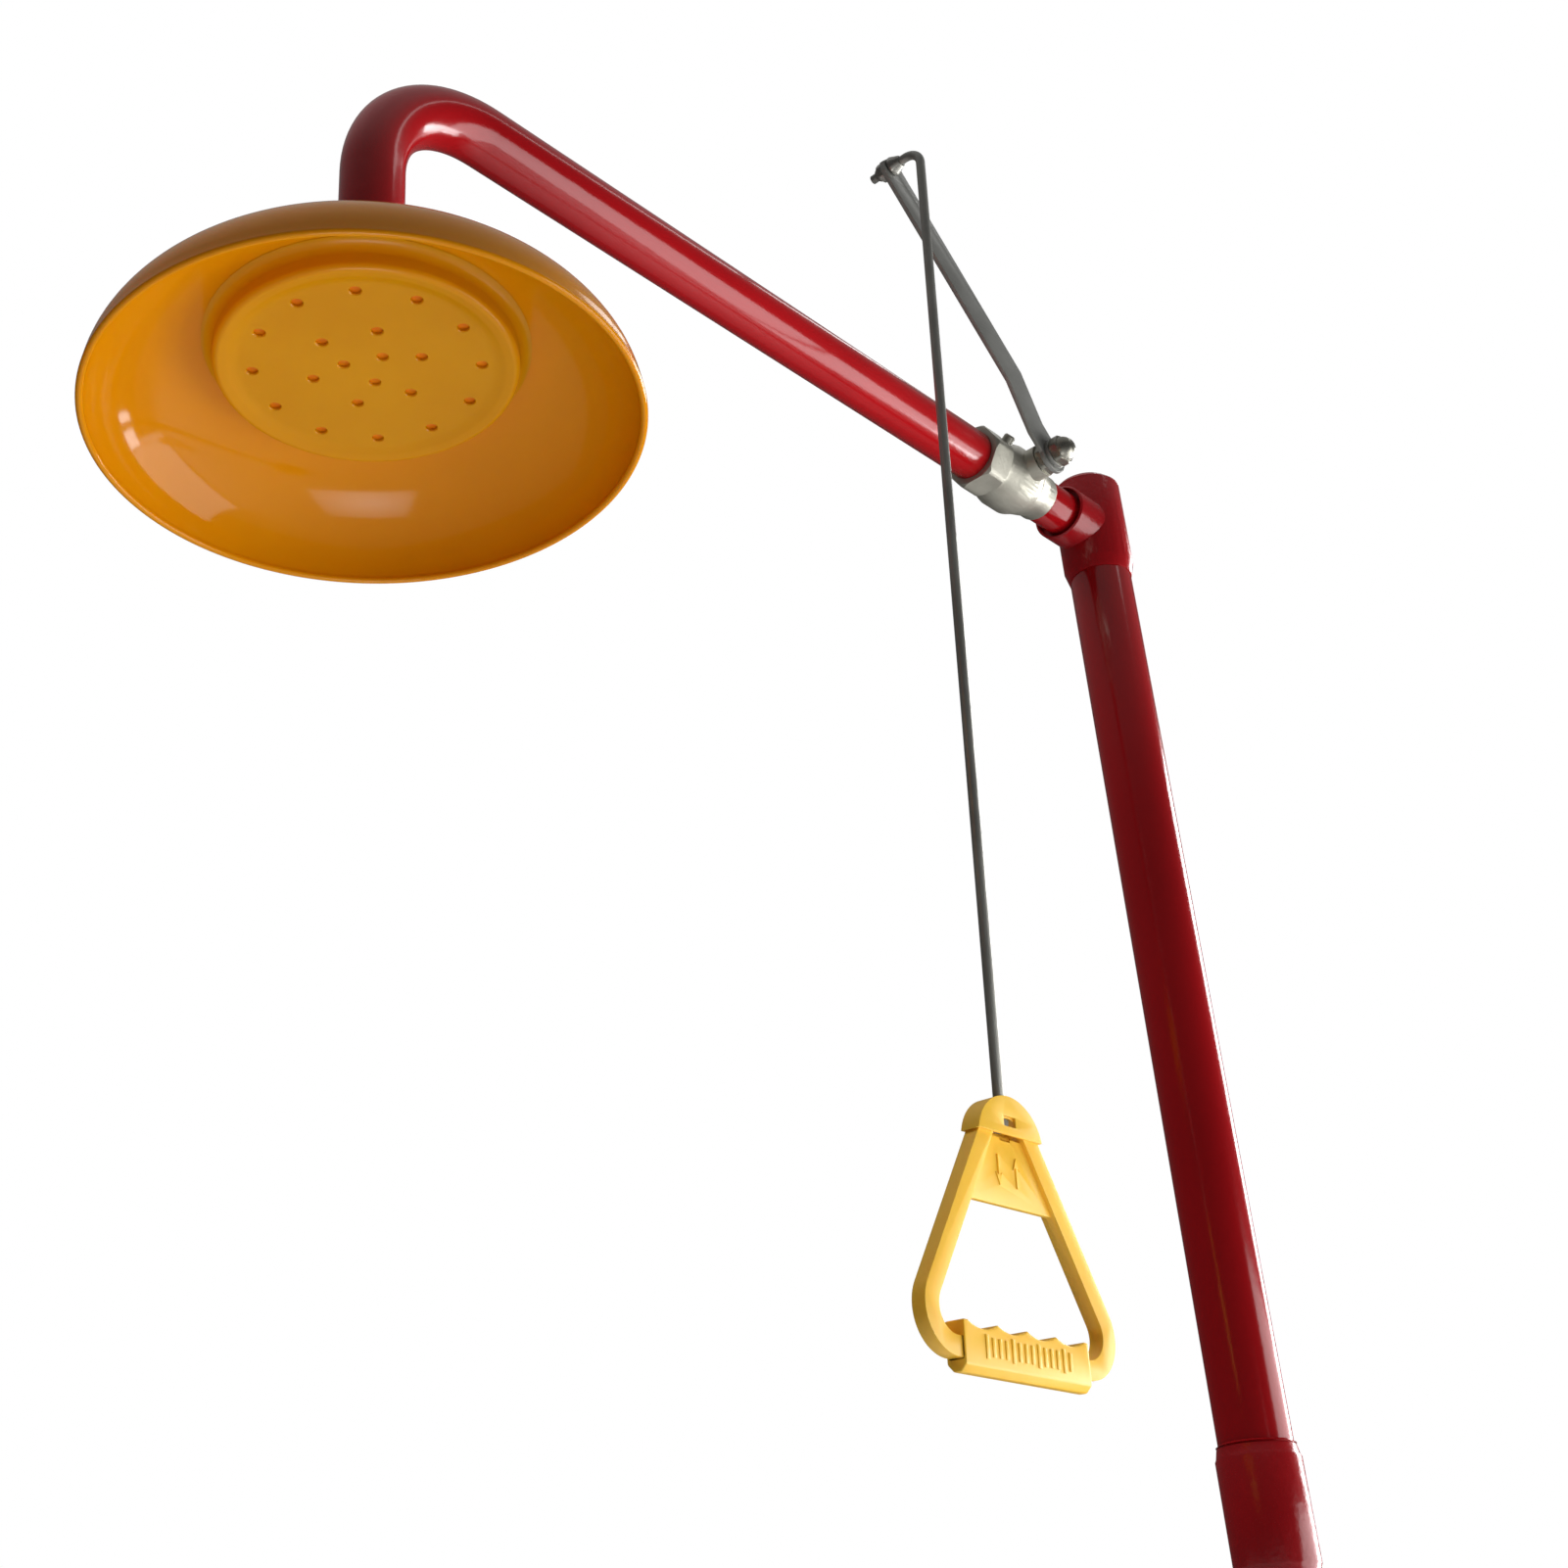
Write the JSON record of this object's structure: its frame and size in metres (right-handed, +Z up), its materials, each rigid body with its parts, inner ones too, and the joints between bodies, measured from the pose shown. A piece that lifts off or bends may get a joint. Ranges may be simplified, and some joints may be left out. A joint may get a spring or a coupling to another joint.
{
  "type": "emergency safety shower",
  "caption": "Floor-standing drench shower: painted column and side arm, bowl head with spray plate, and a ball valve opened by a lever, a pull rod and a triangular handle.",
  "frame": {"origin": "middle of the floor flange's underside, on the column's axis", "axes": "+Z up along the column; the arm runs along -X; the valve lever and pull rod are on the -Y side"},
  "size_m": [0.9295, 0.28, 2.498],
  "materials": {
    "red_paint": "gloss enamel",
    "valve_plating": "satin nickel plating",
    "white_seal": "machined fluoropolymer",
    "black_rubber": "moulded",
    "bowl_plastic": "gloss moulding",
    "stainless": "brushed",
    "handle_plastic": "satin moulding"
  },
  "bodies": {
    "stand": {"floor_flange": "red_paint", "lower_riser": "red_paint", "inlet_tee": "red_paint", "lower_column": "red_paint", "column_coupling": "red_paint", "upper_column": "red_paint", "top_tee": "red_paint", "tee_cap": "red_paint", "valve_nipple": "red_paint", "arm_pipe": "red_paint", "arm_elbow": "red_paint", "drop_pipe": "red_paint", "head_locknut": "red_paint", "valve_body": "valve_plating", "valve_tail": "valve_plating", "gland_nut": "valve_plating", "head_nut": "valve_plating", "body_seal": "white_seal", "ball_seats": "white_seal", "stem_packing": "white_seal", "head_gasket": "black_rubber", "plate_seal": "black_rubber", "head_bowl": "bowl_plastic", "spray_plate": "bowl_plastic"},
    "lever": {"valve_ball": "valve_plating", "valve_stem": "stainless", "valve_lever": "stainless", "lever_washer": "stainless", "lever_nut": "valve_plating"},
    "rod": {"pull_rod": "stainless", "rod_nut": "stainless", "rod_washer": "stainless", "rod_collar": "stainless", "rod_stop": "stainless"},
    "handle": {"handle_frame": "handle_plastic", "handle_cap": "handle_plastic", "handle_grip": "handle_plastic"}
  },
  "joints": [
    {"name": "lever_turn", "type": "hinge", "parent": "stand", "child": "lever", "pos_m": [-0.101, -0.036, 2.33], "axis": [0, -1, 0], "range_deg": [0, 90]},
    {"name": "rod_hinge", "type": "hinge", "parent": "lever", "child": "rod", "pos_m": [-0.25577, -0.0415, 2.48915], "axis": [0, -1, 0], "range_deg": [-90, 0]},
    {"name": "handle_swivel", "type": "hinge", "parent": "rod", "child": "handle", "pos_m": [-0.25577, -0.03107, 1.84616], "axis": [0, -0.0553, 0.9985], "continuous": true}
  ],
  "couplings": [
    {"joint": "rod_hinge", "follows": "lever_turn", "ratio": -1}
  ]
}
